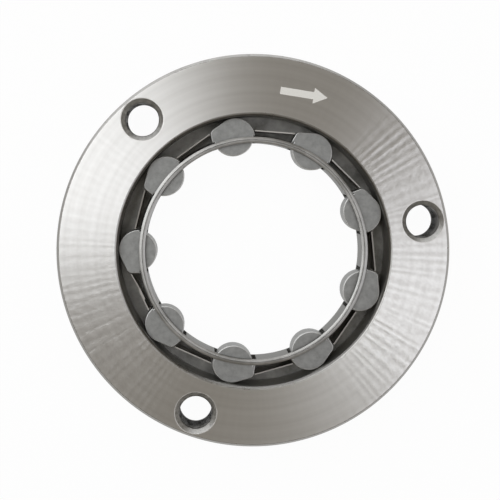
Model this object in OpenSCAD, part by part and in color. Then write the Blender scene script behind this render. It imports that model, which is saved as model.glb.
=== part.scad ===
// One-way starter clutch: outer race, flanged sprag cage, ribbon spring and nine sprags.
// Millimetres. The back face lies on Z = 0, the race's axis is Z and the front face looks up.

/* [Outer race] */
// Outside diameter of the race
race_d = 80; // [77:0.5:90]
// Axial thickness of the race
race_t = 11; // [10:0.25:15]
// Diameter of the raceway that the sprags wedge against
raceway_d = 55.2; // [54.6:0.1:56.4]
// Chamfer on the outside edges of the race
race_edge = 0.5; // [0.1:0.05:1]
// Chamfer at the front of the raceway
raceway_lead_in = 0.45; // [0.1:0.05:0.8]

/* [Bolt holes] */
// Number of tapped holes for the bolts from the flywheel side
bolt_count = 3; // [2:1:6]
// Pitch circle of the bolt holes
bolt_pcd = 70; // [69.5:0.25:71]
// Minor diameter of the tapped holes
bolt_hole_d = 6.65; // [5:0.05:7]
// Diameter of the countersink at each end of a hole
bolt_sink_d = 8.5; // [7.2:0.1:8.8]
// Angle of the first hole, anticlockwise from +X
bolt_angle = 10; // [0:1:119]

/* [Sprag cage] */
// Diameter over the cage's wall
cage_d = 46.7; // [46.4:0.1:46.8]
// Thickness of the sheet that the cage is pressed from
cage_sheet = 1.2; // [0.8:0.05:1.3]
// Height of the cage, from under the flange to the front rim
cage_h = 9.65; // [8.5:0.05:9.75]
// Diameter of the flange at the back of the cage
cage_flange_d = 58.2; // [57:0.1:59]
// Inside radius of the bend between wall and flange
cage_bend = 0.6; // [0.3:0.05:0.8]
// Width of a window
window_w = 8.7; // [8.2:0.05:8.8]
// Height of the ring that closes the windows at the front
front_ring_h = 0.85; // [0.6:0.05:1.5]
// Height from under the flange to the windows
window_sill_h = 2.1; // [2.05:0.05:3]

/* [Sprags] */
// Number of sprags
sprag_count = 9; // [6:1:9]
// Angle of the first sprag, anticlockwise from +X
sprag_angle = 20; // [0:1:39]
// Diameter of the hub that the noses bear on
hub_d = 39.5; // [39:0.1:40]
// Width of the head, outside the cage
head_w = 8.85; // [8.75:0.05:9]
// Radius of the cam on the head, which meets the raceway
crown_r = 4; // [3.8:0.05:4.2]
// Sideways offset of that cam, towards the driving direction
crown_offset = 0.45; // [0.3:0.05:0.6]
// Slope of the flat from the crown down to the shoulder, in degrees
head_slope = 25.4; // [20:0.2:30]
// Radius of the shoulder at the foot of the flat
shoulder_r = 1.15; // [0.8:0.05:1.4]
// Radius of the nose, which meets the hub
nose_r = 4.1; // [3.8:0.05:4.2]
// Sideways offset of the nose, towards the driving direction
nose_offset = 0.1; // [-0.1:0.05:0.15]

/* [Ribbon spring] */
// Thickness of the strip
ribbon_t = 0.25; // [0.15:0.05:0.4]
// Distance of a strip's flat from the axis
ribbon_r = 24.6; // [24.2:0.1:24.8]
// Lean of each strip against the circle, in degrees
ribbon_lean = 5.5; // [3:0.5:7]
// Height of the closed rail behind the sprags
ribbon_rail_h = 0.6; // [0.3:0.05:0.65]
// How far the strips stop below the sprags' front faces
ribbon_drop = 0.6; // [0.2:0.1:2]
// Length over which the strip's two ends lap
ribbon_lap = 1.6; // [0.8:0.1:2.4]

/* [Fits] */
// Axial play of the flange, on each side
flange_play = 0.15; // [0.1:0.05:0.3]
// Radial clearance of the flange in its recess
flange_clearance = 0.3; // [0.2:0.05:0.5]
// Clearance between a sprag's crown and the raceway
crown_gap = 0.12; // [0.05:0.01:0.2]
// Clearance between a sprag's nose and the hub
nose_gap = 0.03; // [0.01:0.01:0.06]
// Clearance between a sprag's head and the cage's wall
head_gap = 0.32; // [0.28:0.01:0.4]
// End clearance of a sprag in its window
sprag_end_gap = 0.15; // [0.1:0.05:0.25]
// Clearance of the ribbon spring above the flange
rail_gap = 0.1; // [0.05:0.05:0.2]
// Clearance between a strip and the sprag beside it
strip_gap = 0.2; // [0.15:0.05:0.5]

/* [Hidden] */
$fn = 96;
race_r = race_d / 2;
raceway_r = raceway_d / 2;
hub_r = hub_d / 2;
over = 1;
turn = 360;

// Heights above the back face, from back to front
flange_z = flange_play;
flange_top_z = flange_z + cage_sheet;
recess_z = flange_top_z + flange_play;
rail_z = flange_top_z + rail_gap;
window_z = flange_z + window_sill_h;
window_top_z = flange_z + cage_h - front_ring_h;
rim_z = flange_z + cage_h;
sprag_z = window_z + sprag_end_gap;
sprag_top_z = window_top_z - sprag_end_gap;

// Radii of the cage
cage_outer_r = cage_d / 2;
cage_inner_r = cage_outer_r - cage_sheet;
flange_r = cage_flange_d / 2;
recess_r = flange_r + flange_clearance;
rim_chamfer = 0.3;
sheet_edge = 0.15;

// A sprag's outline: X runs the driving way round, Y away from the axis
sprag_pitch = turn / sprag_count;
crown_c = [crown_offset, raceway_r - crown_gap - crown_r];
nose_c = [nose_offset, hub_r + nose_gap + nose_r];
head_foot_r = cage_outer_r + head_gap;
nose_root_r = head_foot_r + 0.2;
slope_n = [-sin(head_slope), cos(head_slope)];
shoulder_x = -head_w / 2 + shoulder_r;
shoulder_c = [shoulder_x, crown_c.y
    + (crown_r - shoulder_r - (shoulder_x - crown_c.x) * slope_n.x) / slope_n.y];

// The ribbon spring: each strip runs straight across the gap between two sprags
strip_half_angle = sprag_pitch / 2 - asin((head_w / 2 + strip_gap) / ribbon_r);
strip_top_z = sprag_top_z - ribbon_drop;
lapped_gap = 5;
lap_step_angle = 1;
lap_angle = asin(ribbon_lap / ribbon_r);

// Turned ring with its recess for the cage's flange
module race_blank() {
    rotate_extrude(angle = turn)
        polygon([
            [raceway_r, recess_z],
            [raceway_r, race_t - raceway_lead_in],
            [raceway_r + raceway_lead_in, race_t],
            [race_r - race_edge, race_t],
            [race_r, race_t - race_edge],
            [race_r, race_edge],
            [race_r - race_edge, 0],
            [recess_r + race_edge, 0],
            [recess_r, race_edge],
            [recess_r, recess_z]
        ]);
}

// Tapped hole at its minor diameter, countersunk at both faces
module bolt_hole() {
    sink = (bolt_sink_d - bolt_hole_d) / 2;
    translate([0, 0, -over])
        cylinder(d = bolt_hole_d, h = race_t + 2 * over);
    for (end = [0, 1])
        translate([0, 0, end * race_t])
            mirror([0, 0, end])
                translate([0, 0, -over])
                    cylinder(d1 = bolt_sink_d + 2 * over, d2 = bolt_hole_d, h = sink + over);
}

module outer_race() {
    color([0.74, 0.73, 0.71])
        difference() {
            race_blank();
            for (i = [0:bolt_count - 1])
                rotate([0, 0, bolt_angle + i * turn / bolt_count])
                    translate([bolt_pcd / 2, 0, 0])
                        bolt_hole();
        }
}

// Half section of the pressed cage: wall, bend and flange of one sheet
module cage_section() {
    outer_bend = cage_bend + cage_sheet;
    difference() {
        union() {
            polygon([
                [cage_inner_r, flange_z],
                [flange_r - sheet_edge, flange_z],
                [flange_r, flange_z + sheet_edge],
                [flange_r, flange_top_z - sheet_edge],
                [flange_r - sheet_edge, flange_top_z],
                [cage_outer_r, flange_top_z],
                [cage_outer_r, rim_z - sheet_edge],
                [cage_outer_r - sheet_edge, rim_z],
                [cage_inner_r + rim_chamfer, rim_z],
                [cage_inner_r, rim_z - rim_chamfer]
            ]);
            difference() {
                translate([cage_outer_r, flange_top_z])
                    square(cage_bend);
                translate([cage_outer_r + cage_bend, flange_top_z + cage_bend])
                    circle(cage_bend);
            }
        }
        difference() {
            translate([cage_inner_r - over, flange_z - over])
                square(outer_bend + over);
            translate([cage_inner_r + outer_bend, flange_z + outer_bend])
                circle(outer_bend);
        }
    }
}

module cage() {
    color([0.66, 0.66, 0.64])
        difference() {
            rotate_extrude(angle = turn)
                cage_section();
            for (i = [0:sprag_count - 1])
                rotate([0, 0, sprag_angle + i * sprag_pitch])
                    translate([cage_inner_r / 2, -window_w / 2, window_z])
                        cube([cage_outer_r, window_w, window_top_z - window_z]);
        }
}

// Outline of a sprag: crown, sloped flat and shoulder outside the cage, round nose inside
module sprag_outline() {
    difference() {
        union() {
            translate(crown_c)
                circle(crown_r);
            translate(shoulder_c)
                circle(shoulder_r);
            polygon([
                crown_c,
                crown_c + crown_r * slope_n,
                shoulder_c + shoulder_r * slope_n,
                shoulder_c,
                [-head_w / 2, shoulder_c.y],
                [-head_w / 2, nose_c.y],
                [crown_c.x, nose_c.y]
            ]);
        }
        circle(head_foot_r);
    }
    // The nose follows the hub and is rooted in the head
    intersection() {
        translate(nose_c)
            circle(nose_r);
        circle(nose_root_r);
    }
}

module sprag(index) {
    color([0.56, 0.56, 0.54])
        rotate([0, 0, sprag_angle + (index - 1) * sprag_pitch - turn / 4])
            translate([0, 0, sprag_z])
                linear_extrude(height = sprag_top_z - sprag_z)
                    sprag_outline();
}

// Point on a strip's line, at an angle from the middle of its gap in the driving direction
function strip_point(angle, inset = 0) =
    (ribbon_r - inset) / cos(angle + ribbon_lean) * [sin(angle), cos(angle)];

// Corners of a strip, outside or inside. In the lapped gap the strip steps in behind its
// own other end, which shows as a bump on the inside.
function strip_corners(lapped, inside) = concat(
    [strip_point(-strip_half_angle)],
    !lapped ? []
    : inside ? [strip_point(-lap_angle), strip_point(-lap_angle, ribbon_t)]
    : [strip_point(lap_step_angle)],
    lapped ? [strip_point(2 * lap_step_angle, ribbon_t)] : [],
    [strip_point(strip_half_angle)]
);

function turned(p, angle) = [
    p.x * cos(angle) + p.y * sin(angle),
    p.y * cos(angle) - p.x * sin(angle)
];

function pushed_out(p, distance) = p * (1 + distance / norm(p));

// One side of the closed strip, seen end on
function ribbon_side(inside) = [
    for (i = [0:sprag_count - 1])
        for (p = strip_corners(i == lapped_gap, inside))
            pushed_out(turned(p, i * sprag_pitch), (inside ? -1 : 1) * ribbon_t / 2)
];

module ribbon_spring() {
    opening_w = head_w + 2 * strip_gap;
    color([0.6, 0.6, 0.58])
        rotate([0, 0, sprag_angle + sprag_pitch / 2 - turn / 4])
            difference() {
                translate([0, 0, rail_z])
                    linear_extrude(height = strip_top_z - rail_z)
                        difference() {
                            polygon(ribbon_side(inside = false));
                            polygon(ribbon_side(inside = true));
                        }
                for (i = [0:sprag_count - 1])
                    rotate([0, 0, (i + 0.5) * sprag_pitch])
                        translate([-opening_w / 2, cage_inner_r, rail_z + ribbon_rail_h])
                            cube([opening_w, raceway_r - cage_inner_r, strip_top_z]);
            }
}

outer_race();
cage();
ribbon_spring();
for (i = [1:sprag_count])
    sprag(i);
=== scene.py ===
import math

import bmesh
import bpy
from mathutils import Matrix, Vector
from mathutils.geometry import tessellate_polygon


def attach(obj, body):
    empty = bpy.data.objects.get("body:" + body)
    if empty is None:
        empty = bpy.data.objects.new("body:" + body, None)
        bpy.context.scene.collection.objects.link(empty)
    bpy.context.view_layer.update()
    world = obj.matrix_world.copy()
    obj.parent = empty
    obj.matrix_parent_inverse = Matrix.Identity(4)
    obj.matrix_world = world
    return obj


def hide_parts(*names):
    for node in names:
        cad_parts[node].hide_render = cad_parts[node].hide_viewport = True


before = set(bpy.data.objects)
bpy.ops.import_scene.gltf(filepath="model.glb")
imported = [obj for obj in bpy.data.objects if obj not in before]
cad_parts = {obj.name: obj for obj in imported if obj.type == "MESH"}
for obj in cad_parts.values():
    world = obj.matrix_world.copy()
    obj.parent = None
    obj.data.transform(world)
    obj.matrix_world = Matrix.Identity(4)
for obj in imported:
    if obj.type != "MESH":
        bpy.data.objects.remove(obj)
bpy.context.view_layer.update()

# Sizes of the clutch as in the part, in millimetres and degrees
RACE_R = 40.0
RACE_T = 11.0
RACEWAY_R = 27.6
RACE_EDGE = 0.5
LEAD_IN = 0.45
RECESS_R = 29.4
RECESS_Z = 1.5
BOLT_COUNT = 3
BOLT_CIRCLE_R = 35.0
BOLT_ANGLE = 10.0
SINK_R = 4.25
THREAD_MINOR_R = 3.325
CAGE_SHEET = 1.2
CAGE_OUTER_R = 23.35
CAGE_INNER_R = CAGE_OUTER_R - CAGE_SHEET
CAGE_BEND = 0.6
FLANGE_R = 29.1
FLANGE_Z = 0.15
FLANGE_TOP_Z = FLANGE_Z + CAGE_SHEET
RIM_Z = 9.8
WINDOW_W = 8.7
WINDOW_Z = 2.25
WINDOW_TOP_Z = 8.95
SPRAG_COUNT = 9
SPRAG_ANGLE = 20.0
SPRAG_PITCH = 360.0 / SPRAG_COUNT
SPRAG_Z = 2.4
SPRAG_TOP_Z = 8.8
STRIP_TOP_Z = 8.2
HEAD_W = 8.85
HEAD_FOOT_R = 23.67
HEAD_SLOPE = 25.4
CROWN_C = Vector((0.45, 23.48))
CROWN_R = 4.0
SHOULDER_R = 1.15
NOSE_C = Vector((0.1, 23.88))
NOSE_R = 4.1

# Details of the visual model, in millimetres
THREAD_MAJOR_R = 4.0
THREAD_PITCH = 1.25
BURNISH_W = 0.14
BURNISH_DEPTH = 0.01
RIM_CROWN = 0.13
RIM_LINE_DEPTH = 0.1
RIM_MIDDLE_R = CAGE_OUTER_R - CAGE_SHEET / 2
SHEET_EDGE = 0.15
ROUNDING = 0.06
LIP_ROUNDING = 0.2
SPRAG_ROUNDING = 0.18

# A thread's groove deepens away from its crest by this slope, less this land
THREAD_FLANK = 1.6
THREAD_LAND = 0.4

# Length of the box that cuts a window, from halfway to the cage's inside outward
CUTTER_L = CAGE_OUTER_R * 1.2

# Units in metres, and a full turn in radians
MM = 0.001
MICRON = 0.000001
TURN = 2 * math.pi

# Fineness of the meshes
RING_STEPS = 384
HOLE_STEPS = 96
THREAD_ROWS = 8
CORNER_STEPS = 3
INNER_BEND_STEPS = 8
OUTER_BEND_STEPS = 12
RIM_STEPS = 16
CROWN_STEPS = 28
SHOULDER_STEPS = 8
NOSE_STEPS = 36

# Angles in degrees from which an edge of the sheet and a corner of a sprag look sharp
SHEET_SHARP = 30
SPRAG_SHARP = 25

# A face looks up when its normal rises more than this
LOOKS_UP = 0.5

# Least cosine of half a corner's turn in an inset outline, which limits its mitres
MITRE_LIMIT = 0.5

# Chatter on the race's face: waves in a turn, their drift and strength, and the share of blocks
CHATTER_WAVES = 126
CHATTER_WANDER = 14.0
CHATTER_FAINT = 0.06
CHATTER_STRONG = 0.24
BLOCK_SHARE = 0.75

# How far the marks' noise moves on round the face, and outward in long and in short marks
SPOKE_LENGTH = 0.03
LONG_MARK = 0.25
SHORT_MARK = 0.8

# Where the marks fade, as parts of the way out from the axis, and their share at each end
LOWER_RIGHT = (0.8, -0.6, 0.0)
TOP_FADE = (0.6, 0.74, 1.0, 0.08)
BOTTOM_FADE = (-0.92, -0.6, 0.1, 1.0)
LEFT_FADE = (-0.9, -0.35, 0.28, 1.0)

# Shares of the marks and of the bands in the face's tone; the marks' share paints highlight streaks over the
# chatter's real relief
MARK_AND_STREAK_HIGHLIGHT_TONE = 0.65
BAND_TONE = 0.35

# Fineness of the rim's grooves and of the raceway's lines, in a metre of height
RIM_GROOVES = 3500.0
RACEWAY_LINES = 6000.0

# The range in which most values of a noise lie
NOISE_LOW = 0.3
NOISE_HIGH = 0.7

# The two tones between which each surface varies
FACE_TONES = ((0.61, 0.6, 0.58), (0.79, 0.785, 0.77))
RIM_TONES = ((0.5, 0.49, 0.46), (0.66, 0.65, 0.62))
RACEWAY_TONES = ((0.28, 0.273, 0.256), (0.46, 0.45, 0.42))
# The raceway's mouth is darker as painted shade
SHADED_MOUTH_TONES = ((0.14, 0.137, 0.13), (0.23, 0.225, 0.213))
EDGE_TONES = ((0.32, 0.315, 0.3), (0.46, 0.45, 0.435))
THREAD_TONES = ((0.035, 0.034, 0.031), (0.46, 0.45, 0.43))
SINK_TONES = ((0.2, 0.197, 0.19), (0.76, 0.75, 0.72))
BURNISH_TONES = ((0.62, 0.61, 0.59), (0.74, 0.73, 0.71))
ARROW_TONES = ((0.79, 0.78, 0.74), (0.92, 0.91, 0.87))
# The cage's sides are darker as painted shade, and the rim's top is lighter as painted light
CAGE_SHADED_SIDE_TONES = ((0.12, 0.12, 0.111), (0.19, 0.187, 0.176))
CAGE_RIM_LIT_TONES = ((0.34, 0.337, 0.325), (0.5, 0.495, 0.48))
# The flange's tones are random mottling and painted pools of light in one
FLANGE_MOTTLE_AND_LIGHT_TONES = ((0.14, 0.138, 0.129), (0.53, 0.523, 0.5))
SPRAG_TONES = ((0.25, 0.252, 0.245), (0.36, 0.362, 0.354))
# The sprags' rounded edges are lighter for wear and as a painted highlight
SPRAG_EDGE_WEAR_AND_HIGHLIGHT_TONES = ((0.58, 0.582, 0.57), (0.74, 0.74, 0.73))
STRIP_TONES = ((0.44, 0.4, 0.35), (0.36, 0.35, 0.33))

# Colours of the lamps and the world, and the world's strength
LAMP_COLOUR = (0.94, 0.965, 1.0)
COOL_LAMP_COLOUR = (0.91, 0.93, 1.0)
WORLD_COLOUR = (1.0, 0.92, 0.8, 1)
WORLD_STRENGTH = 0.26

# The floor, a hair under the back face: its height and reach in millimetres and its share of plain white
FLOOR_Z = -0.05
FLOOR_REACH = 3000
FLOOR_COLOUR = (0.86, 0.86, 0.86, 1)
WHITE_SHARE = 0.965

# The camera, solved from the circles and holes in the photograph: millimetres, and degrees of roll
CAMERA_PLACE = Vector((-11.12, 15.97, 287.27))
CAMERA_TARGET = Vector((-0.82, 0.39, RACE_T))
CAMERA_ROLL = 0.124
CAMERA_LENS = 98.2


# Plane geometry

def on_circle(centre, radius, angle):
    return Vector((centre[0] + radius * math.cos(angle), centre[1] + radius * math.sin(angle)))


def arc(centre, radius, start, end, steps):
    """Points from one angle to the other, both ends included."""
    return [on_circle(centre, radius, start + (end - start) * i / steps) for i in range(steps + 1)]


def angle_of(point, centre=(0, 0)):
    return math.atan2(point[1] - centre[1], point[0] - centre[0])


def circles_meet(centre, radius, other_radius, side):
    """Where a circle meets one round the origin, on the side of positive or negative x."""
    distance = centre.length
    along = (other_radius ** 2 - radius ** 2 + distance ** 2) / (2 * distance)
    across = math.sqrt(other_radius ** 2 - along ** 2)
    axis = centre / distance
    return axis * along + Vector((axis.y, -axis.x)) * across * side


def rounded(corners, radii):
    """A closed outline, each corner rounded by its own radius, and the indices where straight runs end."""
    points, ends = [], set()
    count = len(corners)
    for i, corner in enumerate(corners):
        corner = Vector(corner)
        back = Vector(corners[i - 1]) - corner
        ahead = Vector(corners[(i + 1) % count]) - corner
        reach = min(radii[i], back.length / 3, ahead.length / 3)
        start = corner + back.normalized() * reach
        end = corner + ahead.normalized() * reach
        ends.add(len(points))
        for step in range(CORNER_STEPS + 1):
            t = step / CORNER_STEPS
            points.append(start * (1 - t) ** 2 + corner * 2 * t * (1 - t) + end * t ** 2)
        ends.add(len(points) - 1)
    return points, ends


# Mesh tools

def ring(mesh, points):
    return [mesh.verts.new(Vector(p) * MM) for p in points]


def turned_ring(mesh, radius, z):
    """A ring round the clutch's axis."""
    angles = [TURN * i / RING_STEPS for i in range(RING_STEPS)]
    return ring(mesh, [(*on_circle((0, 0), radius, angle), z) for angle in angles])


def bridge(mesh, lower, upper, slot=0):
    """Quads between two closed rings with as many points each."""
    count = len(lower)
    for i in range(count):
        j = (i + 1) % count
        face = mesh.faces.new((lower[i], lower[j], upper[j], upper[i]))
        face.material_index = slot


def mark_sharp(ring_verts):
    """The edges along a closed ring break the shading."""
    around = set(ring_verts)
    for vert in ring_verts:
        for edge in vert.link_edges:
            if edge.other_vert(vert) in around:
                edge.smooth = False


def fill(mesh, loops, slot=0):
    """A flat face with holes, between closed rings."""
    verts = [vert for loop in loops for vert in loop]
    for corners in tessellate_polygon([[vert.co for vert in loop] for loop in loops]):
        face = mesh.faces.new([verts[i] for i in corners])
        face.material_index = slot


def new_object(name, data):
    made = bpy.data.objects.new(name, data)
    bpy.context.scene.collection.objects.link(made)
    return made


def mesh_object(name, mesh):
    """An object made from a finished mesh, which is freed."""
    data = bpy.data.meshes.new(name)
    mesh.to_mesh(data)
    mesh.free()
    return new_object(name, data)


def finish_mesh(name, mesh, body, materials, node):
    """Turns a mesh into a piece that rides on a body and, where one is named, stands for a CAD node."""
    bmesh.ops.recalc_face_normals(mesh, faces=mesh.faces)
    for face in mesh.faces:
        face.smooth = True
    piece = mesh_object(name, mesh)
    for material in materials:
        piece.data.materials.append(material)
    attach(piece, body)
    if node:
        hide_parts(node)
    return piece


# Procedural materials

def add(tree, kind, values=(), **settings):
    """A shader node. Values map an input's name or number to a value or to another node's output."""
    made = tree.nodes.new(kind)
    for key, value in settings.items():
        setattr(made, key, value)
    for key, value in dict(values).items():
        if isinstance(value, bpy.types.NodeSocket):
            tree.links.new(value, made.inputs[key])
        else:
            made.inputs[key].default_value = value
    return made


def maths(tree, operation, first, second):
    return add(tree, "ShaderNodeMath", {0: first, 1: second}, operation=operation).outputs[0]


def vector_maths(tree, operation, *values):
    return add(tree, "ShaderNodeVectorMath", dict(enumerate(values)), operation=operation).outputs


def scaled(tree, vector, factor):
    return add(tree, "ShaderNodeVectorMath", {0: vector, "Scale": factor}, operation="SCALE").outputs[0]


def upright(tree, length):
    """A vector of that length along the clutch's axis."""
    return add(tree, "ShaderNodeCombineXYZ", {2: length}).outputs[0]


def place_of(tree):
    return add(tree, "ShaderNodeTexCoord").outputs["Object"]


def outward_of(tree, place):
    """The way out from the clutch's axis."""
    flat = vector_maths(tree, "MULTIPLY", place, (1, 1, 0))[0]
    return vector_maths(tree, "NORMALIZE", flat)[0]


def radius_of(tree, place):
    flat = vector_maths(tree, "MULTIPLY", place, (1, 1, 0))[0]
    return vector_maths(tree, "LENGTH", flat)["Value"]


def height_of(tree, place):
    return add(tree, "ShaderNodeSeparateXYZ", {0: place}).outputs["Z"]


def noise(tree, vector, scale, detail=3.0, roughness=0.5):
    values = {"Vector": vector, "Scale": scale, "Detail": detail, "Roughness": roughness}
    return add(tree, "ShaderNodeTexNoise", values).outputs["Fac"]


def remap(tree, value, low, high, to_low, to_high):
    values = {0: value, 1: low, 2: high, 3: to_low, 4: to_high}
    return add(tree, "ShaderNodeMapRange", values).outputs[0]


def spread(tree, value, to_low, to_high):
    """The range in which most of a noise lies, stretched to another one."""
    return remap(tree, value, NOISE_LOW, NOISE_HIGH, to_low, to_high)


def blend(tree, factor, tones):
    """A colour between a surface's two tones."""
    made = add(tree, "ShaderNodeMix", data_type="RGBA")
    tree.links.new(factor, made.inputs[0])
    for socket, tone in zip((6, 7), tones):
        made.inputs[socket].default_value = (*tone, 1)
    return made.outputs[2]


def metal(name, anisotropy=0.0, rotation=0.25):
    """A new metal, its tree and its shader. Its grain runs round the axis, or outward at rotation 0."""
    material = bpy.data.materials.new(name)
    material.use_nodes = True
    tree = material.node_tree
    shader = tree.nodes["Principled BSDF"]
    shader.inputs["Metallic"].default_value = 1.0
    shader.inputs["Anisotropic"].default_value = anisotropy
    if anisotropy:
        shader.inputs["Anisotropic Rotation"].default_value = rotation
        tangent = add(tree, "ShaderNodeTangent", direction_type="RADIAL", axis="Z")
        tree.links.new(tangent.outputs[0], shader.inputs["Tangent"])
    return material, tree, shader


def dress(tree, shader, colour, roughness, relief, depth, strength):
    """Gives a surface its colour, its roughness and a relief, whose depth is in micrometres."""
    tree.links.new(colour, shader.inputs["Base Color"])
    tree.links.new(roughness, shader.inputs["Roughness"])
    values = {"Height": relief, "Distance": depth * MICRON, "Strength": strength}
    tree.links.new(add(tree, "ShaderNodeBump", values).outputs[0], shader.inputs["Normal"])


def chatter_marks(tree, outward, rings):
    """Ripple and blocks round the face, faint at the top, at the bottom and at the upper left. They are real
    relief, and in the colour they paint highlight streaks.
    """
    spokes = scaled(tree, outward, SPOKE_LENGTH)
    long_marks = vector_maths(tree, "ADD", spokes, scaled(tree, rings, LONG_MARK))[0]
    short_marks = vector_maths(tree, "ADD", spokes, scaled(tree, rings, SHORT_MARK))[0]
    axes = add(tree, "ShaderNodeSeparateXYZ", {0: outward}).outputs
    angle = maths(tree, "ARCTAN2", axes["Y"], axes["X"])
    wander = maths(tree, "MULTIPLY", noise(tree, spokes, scale=250.0, detail=1.0), CHATTER_WANDER)
    phase = maths(tree, "ADD", maths(tree, "MULTIPLY", angle, CHATTER_WAVES), wander)
    swell = noise(tree, long_marks, scale=300.0, detail=1.0)
    strength = spread(tree, swell, CHATTER_FAINT, CHATTER_STRONG)
    ripple = maths(tree, "MULTIPLY", maths(tree, "SINE", phase, 0.0), strength)
    blocks = maths(tree, "SUBTRACT", noise(tree, short_marks, scale=1100.0, detail=1.0), 0.5)
    marks = maths(tree, "ADD", ripple, maths(tree, "MULTIPLY", blocks, BLOCK_SHARE))
    rightward = vector_maths(tree, "DOT_PRODUCT", outward, LOWER_RIGHT)["Value"]
    for fading, fade in ((axes["Y"], TOP_FADE), (axes["Y"], BOTTOM_FADE), (rightward, LEFT_FADE)):
        marks = maths(tree, "MULTIPLY", marks, remap(tree, fading, *fade))
    return marks


def turned_face_look():
    """Face ground on a turning table: concentric grain crossed by the spokes of its chatter, whose share of
    the colour is painted highlight streaks.
    """
    material, tree, shader = metal("turned_face", anisotropy=0.85)
    place = place_of(tree)
    rings = upright(tree, radius_of(tree, place))
    marks = chatter_marks(tree, outward_of(tree, place), rings)
    grain = noise(tree, rings, scale=4200.0, detail=3.0, roughness=0.7)
    bands = spread(tree, noise(tree, rings, scale=800.0, detail=1.0), 0.0, BAND_TONE)
    stain = noise(tree, place, scale=60.0, detail=3.0)
    # The marks' share of the tone is painted highlight streaks; the bands are the face's own tone.
    tone = maths(tree, "ADD", remap(tree, marks, -0.2, 0.2, 0.0, MARK_AND_STREAK_HIGHLIGHT_TONE), bands)
    colour = blend(tree, tone, FACE_TONES)
    relief = maths(tree, "ADD", maths(tree, "MULTIPLY", grain, 0.1), marks)
    dress(tree, shader, colour, spread(tree, stain, 0.28, 0.32), relief, depth=40, strength=1.0)
    return material


def rim_look():
    """Turned outside of the race, with fine grooves round it."""
    material, tree, shader = metal("turned_rim", anisotropy=0.6)
    place = place_of(tree)
    levels = upright(tree, maths(tree, "MULTIPLY", height_of(tree, place), RIM_GROOVES))
    slow = vector_maths(tree, "ADD", outward_of(tree, place), levels)[0]
    grooves = noise(tree, slow, scale=1.5, detail=3.0, roughness=0.6)
    colour = blend(tree, noise(tree, place, scale=70.0, detail=4.0), RIM_TONES)
    dress(tree, shader, colour, spread(tree, grooves, 0.28, 0.42), grooves, depth=12, strength=0.6)
    return material


def raceway_look():
    """Hardened and ground raceway, with faint grinding lines round it."""
    material, tree, shader = metal("ground_raceway", anisotropy=0.4)
    place = place_of(tree)
    levels = upright(tree, maths(tree, "MULTIPLY", height_of(tree, place), RACEWAY_LINES))
    lines = noise(tree, levels, scale=1.0, detail=2.0)
    colour = blend(tree, noise(tree, place, scale=120.0, detail=3.0), RACEWAY_TONES)
    dress(tree, shader, colour, spread(tree, lines, 0.3, 0.42), lines, depth=5, strength=0.4)
    return material


def cut_look(name, tones, smooth=0.25, rough=0.4, grain=600.0):
    """Freshly cut edges and countersinks, and the raceway's mouth, whose darker tones are painted shade."""
    material, tree, shader = metal(name)
    wear = noise(tree, place_of(tree), grain, detail=3.0)
    colour = blend(tree, wear, tones)
    dress(tree, shader, colour, spread(tree, wear, smooth, rough), wear, depth=8, strength=0.5)
    return material


def thread_look():
    """Tapped thread, oily, with painted shade that makes it darker the deeper it lies."""
    material, tree, shader = metal("tapped_thread")
    place = place_of(tree)
    oil = noise(tree, place, scale=500.0, detail=4.0)
    dark_z, light_z = 0.4 * RACE_T * MM, 0.95 * RACE_T * MM
    # Painted shade: the colour darkens the deeper in the hole.
    painted_depth_shade = remap(tree, height_of(tree, place), dark_z, light_z, 0.0, 0.8)
    colour = blend(tree, maths(tree, "ADD", painted_depth_shade, spread(tree, oil, -0.1, 0.2)), THREAD_TONES)
    dress(tree, shader, colour, spread(tree, oil, 0.28, 0.5), oil, depth=10, strength=0.4)
    return material


def satin_look(name, tones, smooth, rough, mottle=260.0, grain=2600.0, depth=20):
    """Tumbled or pressed steel: soft mottling under a fine grain. Some tones it is given hold painted light
    or shade.
    """
    material, tree, shader = metal(name)
    place = place_of(tree)
    patches = noise(tree, place, mottle, detail=4.0, roughness=0.6)
    relief = maths(tree, "ADD", noise(tree, place, grain, detail=2.0), patches)
    colour = blend(tree, spread(tree, patches, 0.0, 1.0), tones)
    dress(tree, shader, colour, spread(tree, patches, smooth, rough), relief, depth, strength=0.5)
    return material


def strip_look():
    """Spring strip: tempered brown on its sides, greyer on the edge at the front, which is sheared across."""
    material, tree, shader = metal("spring_strip", anisotropy=0.6, rotation=0.0)
    place = place_of(tree)
    mottle = noise(tree, place, scale=500.0, detail=3.0)
    side_z, edge_z = (STRIP_TOP_Z - 0.1) * MM, (STRIP_TOP_Z - 0.02) * MM
    sheared = remap(tree, height_of(tree, place), side_z, edge_z, 0.0, 0.7)
    colour = blend(tree, maths(tree, "ADD", sheared, maths(tree, "MULTIPLY", mottle, 0.3)), STRIP_TONES)
    dress(tree, shader, colour, spread(tree, mottle, 0.28, 0.42), mottle, depth=10, strength=0.5)
    return material


def etched_look():
    """Pale, matt mark of the direction arrow."""
    material, tree, shader = metal("etched_mark")
    shader.inputs["Metallic"].default_value = 0.3
    dots = noise(tree, place_of(tree), scale=3500.0, detail=2.0)
    colour = blend(tree, dots, ARROW_TONES)
    dress(tree, shader, colour, spread(tree, dots, 0.55, 0.8), dots, depth=10, strength=0.5)
    return material


# Outer race

FACE, RACEWAY, RIM, EDGE, THREAD, SINK, BURNISH, MOUTH = range(8)


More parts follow.
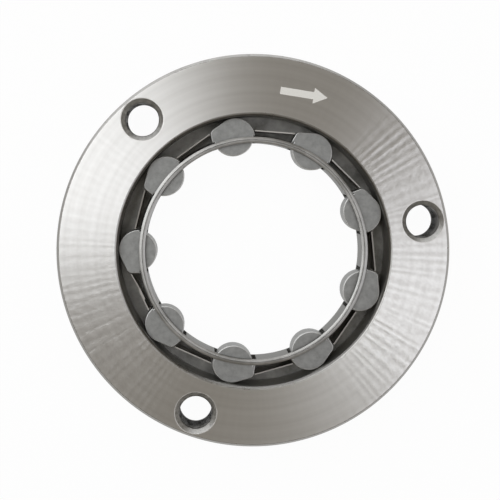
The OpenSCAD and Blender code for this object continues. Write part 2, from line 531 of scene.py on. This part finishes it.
def bolt_hole(mesh, angle):
    """A tapped hole with its countersinks, from the back to the front. Returns its end rings."""
    centre = on_circle((0, 0), BOLT_CIRCLE_R, math.radians(angle))
    sink = SINK_R - THREAD_MINOR_R
    rows = round(RACE_T / THREAD_PITCH * THREAD_ROWS)
    heights = [RACE_T * i / rows for i in range(rows + 1)]

    def wall_radius(turn, z):
        depth = min(z, RACE_T - z)
        phase = (z / THREAD_PITCH - turn) % 1.0
        groove = max(0.0, min(1.0, THREAD_FLANK * abs(2 * phase - 1) - THREAD_LAND))
        run_in = max(0.0, min(1.0, (depth - sink) / THREAD_PITCH))
        thread = THREAD_MINOR_R + (THREAD_MAJOR_R - THREAD_MINOR_R) * groove * run_in
        return max(thread, SINK_R - depth)

    def mouth(z):
        return ring(mesh, [(*on_circle(centre, SINK_R + BURNISH_W, TURN * i / HOLE_STEPS), z)
                           for i in range(HOLE_STEPS)])

    rings = []
    for z in heights:
        rings.append(ring(mesh, [
            (*on_circle(centre, wall_radius(i / HOLE_STEPS, z), TURN * i / HOLE_STEPS),
             max(BURNISH_DEPTH, min(RACE_T - BURNISH_DEPTH, z)))
            for i in range(HOLE_STEPS)
        ]))
    for lower, upper in zip(rings, rings[1:]):
        depth = min(lower[0].co.z, RACE_T * MM - upper[0].co.z) / MM
        bridge(mesh, lower, upper, SINK if depth < sink else THREAD)
    back, front = mouth(0), mouth(RACE_T)
    bridge(mesh, back, rings[0], BURNISH)
    bridge(mesh, rings[-1], front, BURNISH)
    for edge_ring in (back, rings[0], rings[-1], front):
        mark_sharp(edge_ring)
    return back, front


def outer_race(materials):
    corners = [
        (RACEWAY_R, RECESS_Z),
        (RACEWAY_R, RACE_T - LEAD_IN),
        (RACEWAY_R + LEAD_IN, RACE_T),
        (RACE_R - RACE_EDGE, RACE_T),
        (RACE_R, RACE_T - RACE_EDGE),
        (RACE_R, RACE_EDGE),
        (RACE_R - RACE_EDGE, 0),
        (RECESS_R + RACE_EDGE, 0),
        (RECESS_R, RACE_EDGE),
        (RECESS_R, RECESS_Z),
    ]
    slots = [RACEWAY, MOUTH, FACE, EDGE, RIM, EDGE, FACE, EDGE, RIM, FACE]
    # The runs of the outline that are the two faces, with the holes in them
    front_run, back_run = 2, 6
    radii = [ROUNDING] * len(corners)
    radii[front_run] = LIP_ROUNDING
    outline, ends = rounded(corners, radii)
    per_corner = CORNER_STEPS + 1
    mesh = bmesh.new()
    rings = [turned_ring(mesh, r, z) for r, z in outline]
    holes = [bolt_hole(mesh, BOLT_ANGLE + i * 360 / BOLT_COUNT) for i in range(BOLT_COUNT)]
    for i, lower in enumerate(rings):
        upper = rings[(i + 1) % len(rings)]
        corner, step = divmod(i, per_corner)
        run_starts = step == CORNER_STEPS
        if run_starts and corner == front_run:
            fill(mesh, [upper, lower] + [front for back, front in holes], FACE)
        elif run_starts and corner == back_run:
            fill(mesh, [lower, upper] + [back for back, front in holes], FACE)
        else:
            bridge(mesh, lower, upper, slots[corner] if run_starts else EDGE)
    for i in ends:
        mark_sharp(rings[i])
    return finish_mesh("race_dressed", mesh, "race", materials, "outer_race")


# Direction arrow on the race's front face, as far from the axis and as long as in the photograph

ARROW_TAIL = Vector((5.4, 32.65))
ARROW_TIP = Vector((14.95, 31.1))
ARROW_SHAFT_W = 1.46
ARROW_HEAD_W = 3.2
ARROW_HEAD_L = 2.85
ARROW_DEPTH = 0.01


def direction_arrow(material):
    way = (ARROW_TIP - ARROW_TAIL).normalized()
    across = Vector((-way.y, way.x))
    neck = ARROW_TIP - way * ARROW_HEAD_L
    outline = [
        ARROW_TAIL - across * ARROW_SHAFT_W / 2,
        neck - across * ARROW_SHAFT_W / 2,
        neck - across * ARROW_HEAD_W / 2,
        ARROW_TIP,
        neck + across * ARROW_HEAD_W / 2,
        neck + across * ARROW_SHAFT_W / 2,
        ARROW_TAIL + across * ARROW_SHAFT_W / 2,
    ]
    mesh = bmesh.new()
    lower = ring(mesh, [(*p, RACE_T - ARROW_DEPTH) for p in outline])
    upper = ring(mesh, [(*p, RACE_T + ARROW_DEPTH) for p in outline])
    bridge(mesh, lower, upper)
    mesh.faces.new(lower)
    mesh.faces.new(upper)
    for edge in mesh.edges:
        edge.smooth = False
    return finish_mesh("direction_arrow", mesh, "race", [material], None)


# Sprag cage

# Slots of the cage: its sides darker as painted shade, its faces that look up lighter as painted light
SHEET, TOP, FLANGE = range(3)


def cage_outline():
    """Half section of the pressed sheet, going round it from the bend on the flange's upper side."""
    bend_r = CAGE_BEND + CAGE_SHEET
    inner_bend = arc((CAGE_OUTER_R + CAGE_BEND, FLANGE_TOP_Z + CAGE_BEND), CAGE_BEND,
                     -math.pi / 2, -math.pi, INNER_BEND_STEPS)
    outer_bend = arc((CAGE_INNER_R + bend_r, FLANGE_Z + bend_r), bend_r,
                     math.pi, 1.5 * math.pi, OUTER_BEND_STEPS)
    across = [1 - 2 * i / RIM_STEPS for i in range(RIM_STEPS + 1)]
    rim = [(RIM_MIDDLE_R + t * CAGE_SHEET / 2, RIM_Z - RIM_CROWN * t ** 2) for t in across]
    rim[RIM_STEPS // 2] = (RIM_MIDDLE_R, RIM_Z - RIM_LINE_DEPTH)
    edge = [
        (FLANGE_R - SHEET_EDGE, FLANGE_Z),
        (FLANGE_R, FLANGE_Z + SHEET_EDGE),
        (FLANGE_R, FLANGE_TOP_Z - SHEET_EDGE),
        (FLANGE_R - SHEET_EDGE, FLANGE_TOP_Z),
    ]
    return [tuple(p) for p in inner_bend] + rim + [tuple(p) for p in outer_bend] + edge


def window_cutter():
    """Nine boxes, one through each window, that end well outside the sheet."""
    mesh = bmesh.new()
    for i in range(SPRAG_COUNT):
        turn = Matrix.Rotation(math.radians(SPRAG_ANGLE + i * SPRAG_PITCH), 4, "Z")
        middle = Vector((CUTTER_L / 2 + CAGE_INNER_R / 2, 0, (WINDOW_Z + WINDOW_TOP_Z) / 2))
        size = Matrix.Diagonal((CUTTER_L * MM, WINDOW_W * MM, (WINDOW_TOP_Z - WINDOW_Z) * MM, 1))
        bmesh.ops.create_cube(mesh, size=1, matrix=turn @ Matrix.Translation(middle * MM) @ size)
    return mesh_object("window_cutter", mesh)


def cage(materials):
    mesh = bmesh.new()
    rings = [turned_ring(mesh, r, z) for r, z in cage_outline()]
    for i, lower in enumerate(rings):
        bridge(mesh, lower, rings[(i + 1) % len(rings)], SHEET)
    piece = finish_mesh("cage_dressed", mesh, "sprag_cage", materials, "cage")
    cutter = window_cutter()
    cut = piece.modifiers.new("windows", "BOOLEAN")
    cut.operation = "DIFFERENCE"
    cut.solver = "EXACT"
    cut.object = cutter
    shaped = bpy.data.meshes.new_from_object(piece.evaluated_get(bpy.context.evaluated_depsgraph_get()))
    piece.modifiers.clear()
    piece.data = shaped
    bpy.data.objects.remove(cutter)
    shaped.shade_smooth()
    shaped.set_sharp_from_angle(angle=math.radians(SHEET_SHARP))
    # Faces that look up on the rim and the flange take the lighter slots, as painted light.
    for face in shaped.polygons:
        if face.center.z > (RIM_Z - RIM_CROWN) * MM and face.normal.z > LOOKS_UP:
            face.material_index = TOP
        elif face.center.z < (FLANGE_TOP_Z + CAGE_BEND) * MM and face.normal.z > LOOKS_UP:
            face.material_index = FLANGE
    return piece


# Sprags

BODY, ROUNDED_EDGE = range(2)


def sprag_outline():
    """Corners and arcs of a sprag seen from the front, anticlockwise from the crown's foot."""
    slope = math.radians(HEAD_SLOPE)
    slope_normal = Vector((-math.sin(slope), math.cos(slope)))
    slope_angle = angle_of(slope_normal)
    side = -HEAD_W / 2
    shoulder_x = side + SHOULDER_R
    rise = (CROWN_R - SHOULDER_R - (shoulder_x - CROWN_C.x) * slope_normal.x) / slope_normal.y
    shoulder_c = Vector((shoulder_x, CROWN_C.y + rise))
    right_foot = circles_meet(CROWN_C, CROWN_R, HEAD_FOOT_R, 1)
    right_neck = circles_meet(NOSE_C, NOSE_R, HEAD_FOOT_R, 1)
    left_neck = circles_meet(NOSE_C, NOSE_R, HEAD_FOOT_R, -1)
    left_foot = Vector((side, math.sqrt(HEAD_FOOT_R ** 2 - side ** 2)))
    crown = arc(CROWN_C, CROWN_R, angle_of(right_foot, CROWN_C), slope_angle, CROWN_STEPS)
    shoulder = arc(shoulder_c, SHOULDER_R, slope_angle, math.pi, SHOULDER_STEPS)
    nose_start = angle_of(left_neck, NOSE_C)
    if nose_start > 0:
        nose_start -= TURN
    nose = arc(NOSE_C, NOSE_R, nose_start, angle_of(right_neck, NOSE_C), NOSE_STEPS)
    runs = [crown, shoulder, [left_foot], nose]
    return [p for run in runs for p in run]


def inset(outline, distance):
    """The outline drawn in by a small distance, with mitred corners."""
    moved = []
    count = len(outline)
    for i, point in enumerate(outline):
        back = (point - outline[i - 1]).normalized()
        ahead = (outline[(i + 1) % count] - point).normalized()
        normals = [Vector((-back.y, back.x)), Vector((-ahead.y, ahead.x))]
        middle = (normals[0] + normals[1]).normalized()
        moved.append(point + middle * distance / max(MITRE_LIMIT, middle.dot(normals[0])))
    return moved


def sprag(index, materials):
    """A sprag with its edges rounded, front and back."""
    turn = Matrix.Rotation(math.radians(SPRAG_ANGLE + (index - 1) * SPRAG_PITCH - 90), 4, "Z")
    outline = sprag_outline()
    quarter = [math.pi / 2 * i / CORNER_STEPS for i in range(CORNER_STEPS + 1)]
    layers = [(SPRAG_ROUNDING * (1 - math.sin(angle)), SPRAG_Z + SPRAG_ROUNDING * (1 - math.cos(angle)))
              for angle in quarter]
    layers += [(d, SPRAG_Z + SPRAG_TOP_Z - z) for d, z in reversed(layers)]
    mesh = bmesh.new()
    rings = [ring(mesh, [turn @ Vector((*p, z)) for p in inset(outline, d)]) for d, z in layers]
    for i, (lower, upper) in enumerate(zip(rings, rings[1:])):
        bridge(mesh, lower, upper, BODY if i == CORNER_STEPS else ROUNDED_EDGE)
    mesh.faces.new(rings[0])
    mesh.faces.new(rings[-1])
    for i in (0, CORNER_STEPS, CORNER_STEPS + 1, len(rings) - 1):
        mark_sharp(rings[i])
    for i, point in enumerate(outline):
        back = (point - outline[i - 1]).normalized()
        ahead = (outline[(i + 1) % len(outline)] - point).normalized()
        if back.dot(ahead) < math.cos(math.radians(SPRAG_SHARP)):
            for lower, upper in zip(rings, rings[1:]):
                mesh.edges.get((lower[i], upper[i])).smooth = False
    return finish_mesh(f"sprag_dressed_{index}", mesh, f"sprag_{index}_body", materials,
                       f"sprag_{index}")


# Floor, lamps and camera

def floor():
    data = bpy.data.meshes.new("floor")
    sides = ((-1, -1), (1, -1), (1, 1), (-1, 1))
    corners = [Vector((x * FLOOR_REACH, y * FLOOR_REACH, FLOOR_Z)) * MM for x, y in sides]
    data.from_pydata(corners, [], [range(4)])
    plane = new_object("floor", data)
    material = bpy.data.materials.new("white_sweep")
    material.use_nodes = True
    tree = material.node_tree
    shader = tree.nodes["Principled BSDF"]
    shader.inputs["Base Color"].default_value = FLOOR_COLOUR
    shader.inputs["Roughness"].default_value = 0.9
    path = add(tree, "ShaderNodeLightPath")
    seen = maths(tree, "MAXIMUM", path.outputs["Is Camera Ray"], path.outputs["Is Glossy Ray"])
    seen = maths(tree, "MAXIMUM", seen, path.outputs["Is Transmission Ray"])
    share = maths(tree, "MULTIPLY", seen, WHITE_SHARE)
    white = add(tree, "ShaderNodeEmission", {"Color": (1, 1, 1, 1), "Strength": 1.0})
    mixed = add(tree, "ShaderNodeMixShader", {0: share, 1: shader.outputs[0], 2: white.outputs[0]})
    tree.links.new(mixed.outputs[0], tree.nodes["Material Output"].inputs["Surface"])
    data.materials.append(material)


def lamp(name, place, size, watts, colour=LAMP_COLOUR):
    """A soft rectangular lamp that faces the clutch, in millimetres and watts."""
    light = bpy.data.lights.new(name, "AREA")
    light.shape = "RECTANGLE"
    light.size, light.size_y = size[0] * MM, size[1] * MM
    light.energy = watts
    light.color = colour
    made = new_object(name, light)
    made.location = Vector(place) * MM
    made.rotation_euler = (-Vector(place)).to_track_quat("-Z", "Y").to_euler()


def lights():
    lamp("left_softbox", place=(-294, 164, 515), size=(390, 540), watts=1.56)
    lamp("right_softbox", place=(345, -66, 510), size=(330, 540), watts=0.72, colour=COOL_LAMP_COLOUR)
    lamp("far_softbox", place=(-150, 480, 140), size=(900, 280), watts=1.3)
    world = bpy.data.worlds.new("studio")
    world.use_nodes = True
    background = world.node_tree.nodes["Background"]
    background.inputs["Color"].default_value = WORLD_COLOUR
    background.inputs["Strength"].default_value = WORLD_STRENGTH
    bpy.context.scene.world = world


def camera():
    data = bpy.data.cameras.new("camera")
    data.lens = CAMERA_LENS
    data.sensor_fit = "HORIZONTAL"
    data.sensor_width = 36
    data.clip_start = 0.01
    made = new_object("camera", data)
    made.location = CAMERA_PLACE * MM
    look = (CAMERA_TARGET - CAMERA_PLACE).normalized()
    roll = math.radians(CAMERA_ROLL)
    right = look.cross(Vector((math.sin(roll), math.cos(roll), 0))).normalized()
    up = right.cross(look)
    made.rotation_euler = Matrix((right, up, -look)).transposed().to_euler()
    bpy.context.scene.camera = made


scene = bpy.context.scene
scene.view_settings.view_transform = "Standard"
camera()
floor()
lights()

outer_race([
    turned_face_look(),
    raceway_look(),
    rim_look(),
    cut_look("cut_edge", EDGE_TONES),
    thread_look(),
    cut_look("countersink", SINK_TONES, smooth=0.38, rough=0.55, grain=1500.0),
    cut_look("burnished_ring", BURNISH_TONES, smooth=0.3, rough=0.4),
    # The mouth's darker tones are painted shade.
    cut_look("raceway_mouth_painted_shade", SHADED_MOUTH_TONES),
])
direction_arrow(etched_look())
cage([
    # The sides' dark tone is painted shade, the rim's lighter tone painted light.
    satin_look("pressed_cage_painted_shade", CAGE_SHADED_SIDE_TONES, smooth=0.42, rough=0.52),
    satin_look("cage_rim_painted_light", CAGE_RIM_LIT_TONES, smooth=0.34, rough=0.44),
    # The flange's coarse mottling is random tone and painted pools of light; as a face that looks up it is
    # also lighter as painted light.
    satin_look("flange_face_painted_light", FLANGE_MOTTLE_AND_LIGHT_TONES, smooth=0.48, rough=0.58, mottle=170.0),
])
sprag_materials = [
    satin_look("tumbled_sprag", SPRAG_TONES, smooth=0.48, rough=0.56, mottle=800.0, grain=5200.0, depth=6),
    # The rounded edges' lighter tone is wear and a painted highlight.
    satin_look("sprag_edge_wear_and_highlight", SPRAG_EDGE_WEAR_AND_HIGHLIGHT_TONES, smooth=0.46, rough=0.56),
]
for number in range(1, SPRAG_COUNT + 1):
    sprag(number, sprag_materials)

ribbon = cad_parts["ribbon_spring"]
ribbon.data.materials.clear()
ribbon.data.materials.append(strip_look())
